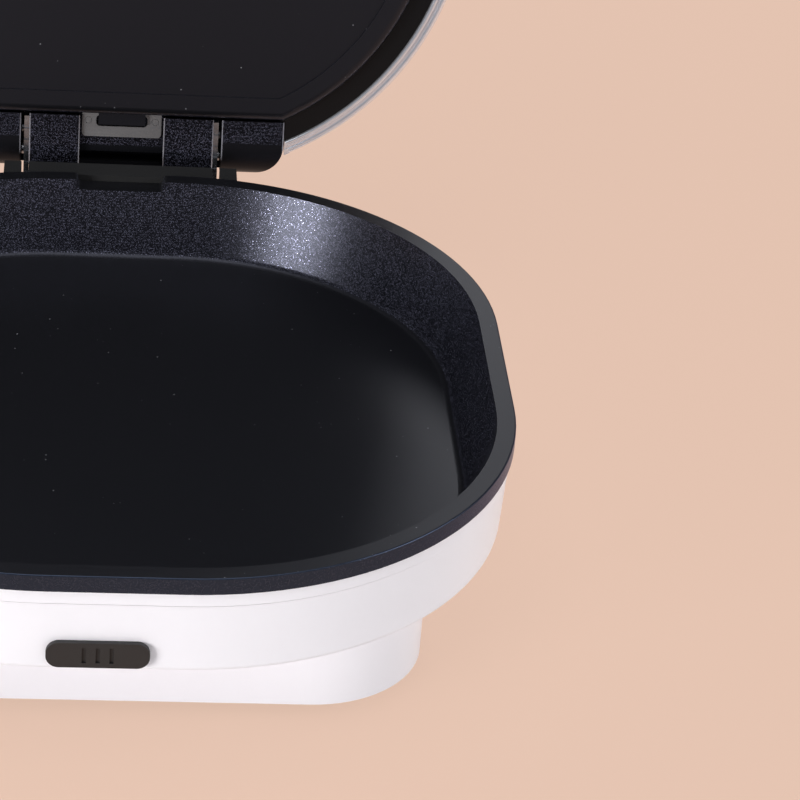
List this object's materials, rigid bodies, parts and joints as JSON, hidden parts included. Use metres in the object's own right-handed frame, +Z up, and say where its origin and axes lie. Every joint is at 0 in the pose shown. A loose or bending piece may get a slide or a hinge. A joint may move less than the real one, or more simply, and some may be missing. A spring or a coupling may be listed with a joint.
{
  "type": "clamshell griddle",
  "caption": "Electric clamshell griddle with a deep rounded pan, a hinged domed lid with a shallow pan and a handle",
  "frame": {"origin": "on the table under the middle of the whole object's box, with the lid open", "axes": "+Z up from the table, +Y from the front towards the hinge, +X to the right seen from the front"},
  "size_m": [0.2488, 0.3878, 0.3396],
  "materials": {
    "nonstick_coating": "matt black non-stick coating on cast aluminium, with a fine silver speckle",
    "white_housing": "satin white moulded plastic",
    "black_plastic": "matt black",
    "white_button": "satin white",
    "black_gloss": "gloss black",
    "catch_plastic": "satin black",
    "plated_trim": "bright plating",
    "satin_steel": "satin grey steel",
    "plated_steel": "zinc plated",
    "screw_steel": "zinc plated",
    "black_cast_bracket": "matt black paint on cast aluminium",
    "heater_tube": "dull steel tube",
    "reflector_aluminium": "bright sheet",
    "rubber": "soft black rubber",
    "circuit_board": "green board",
    "red_lens": "clear red lens",
    "green_lens": "clear green lens"
  },
  "bodies": {
    "base": {"base_shell": "white_housing", "base_collar": "white_housing", "bottom_cover": "black_plastic", "cover_screws": "screw_steel", "lower_heating_element": "heater_tube", "lower_element_clips": "reflector_aluminium", "lower_reflector": "reflector_aluminium", "lower_reflector_screws": "screw_steel", "lower_thermostat": "black_plastic", "terminal_block": "black_plastic", "cord_gland": "rubber", "hinge_bracket": "black_cast_bracket", "hinge_bracket_screws": "screw_steel", "hinge_pin_left": "plated_steel", "hinge_pin_right": "plated_steel", "foot_back_right": "rubber", "foot_front_right": "rubber", "foot_back_left": "rubber", "foot_front_left": "rubber"},
    "lid": {"lid_shell": "white_housing", "lid_trim_ring": "plated_trim", "lid_liner": "black_gloss", "hinge_casting": "nonstick_coating", "hinge_casting_screws": "screw_steel", "hinge_leaf_left": "plated_steel", "hinge_leaf_right": "plated_steel", "leaf_rivets": "plated_steel", "rear_catch_bracket": "satin_steel", "catch_bracket_screws": "screw_steel", "upper_heating_element": "heater_tube", "upper_element_clips": "reflector_aluminium", "upper_reflector": "reflector_aluminium", "upper_reflector_screws": "screw_steel", "upper_thermostat": "black_plastic", "lid_handle": "white_housing", "handle_screws": "screw_steel", "control_panel": "black_gloss", "control_board": "circuit_board", "control_board_screws": "screw_steel", "power_lamp": "red_lens", "ready_lamp": "green_lens"},
    "lower_pan_body": {"lower_pan": "nonstick_coating", "lower_pan_keeper": "plated_steel"},
    "lower_catch": {"lower_pan_catch": "catch_plastic"},
    "upper_pan_body": {"upper_pan": "nonstick_coating", "upper_pan_keeper": "plated_steel"},
    "upper_catch": {"upper_pan_catch": "catch_plastic"},
    "upper_switch": {"upper_pan_button": "white_button"},
    "lower_switch": {"lower_pan_button": "white_button"}
  },
  "joints": [
    {"name": "lid_hinge", "type": "hinge", "parent": "base", "child": "lid", "pos_m": [0, 0.07572, 0.052], "axis": [-1, 0, 0], "range_deg": [-104, 0]},
    {"name": "lower_pan_lift", "type": "slide", "parent": "base", "child": "lower_pan_body", "axis": [0, 0, 1], "range_m": [0, 0.04]},
    {"name": "lower_catch_slide", "type": "slide", "parent": "base", "child": "lower_catch", "axis": [1, 0, 0], "range_m": [0, 0.009]},
    {"name": "upper_pan_tilt", "type": "hinge", "parent": "lid", "child": "upper_pan_body", "pos_m": [0, 0.10093, 0.07292], "axis": [1, 0, 0], "range_deg": [0, 10]},
    {"name": "upper_catch_slide", "type": "slide", "parent": "lid", "child": "upper_catch", "axis": [0, -0.2419, -0.9703], "range_m": [0, 0.0024]},
    {"name": "upper_switch_press", "type": "slide", "parent": "lid", "child": "upper_switch", "axis": [0, -0.9703, 0.2419], "range_m": [0, 0.002], "stiffness_N_per_m": 300},
    {"name": "lower_switch_press", "type": "slide", "parent": "lid", "child": "lower_switch", "axis": [0, -0.9703, 0.2419], "range_m": [0, 0.002], "stiffness_N_per_m": 300}
  ]
}
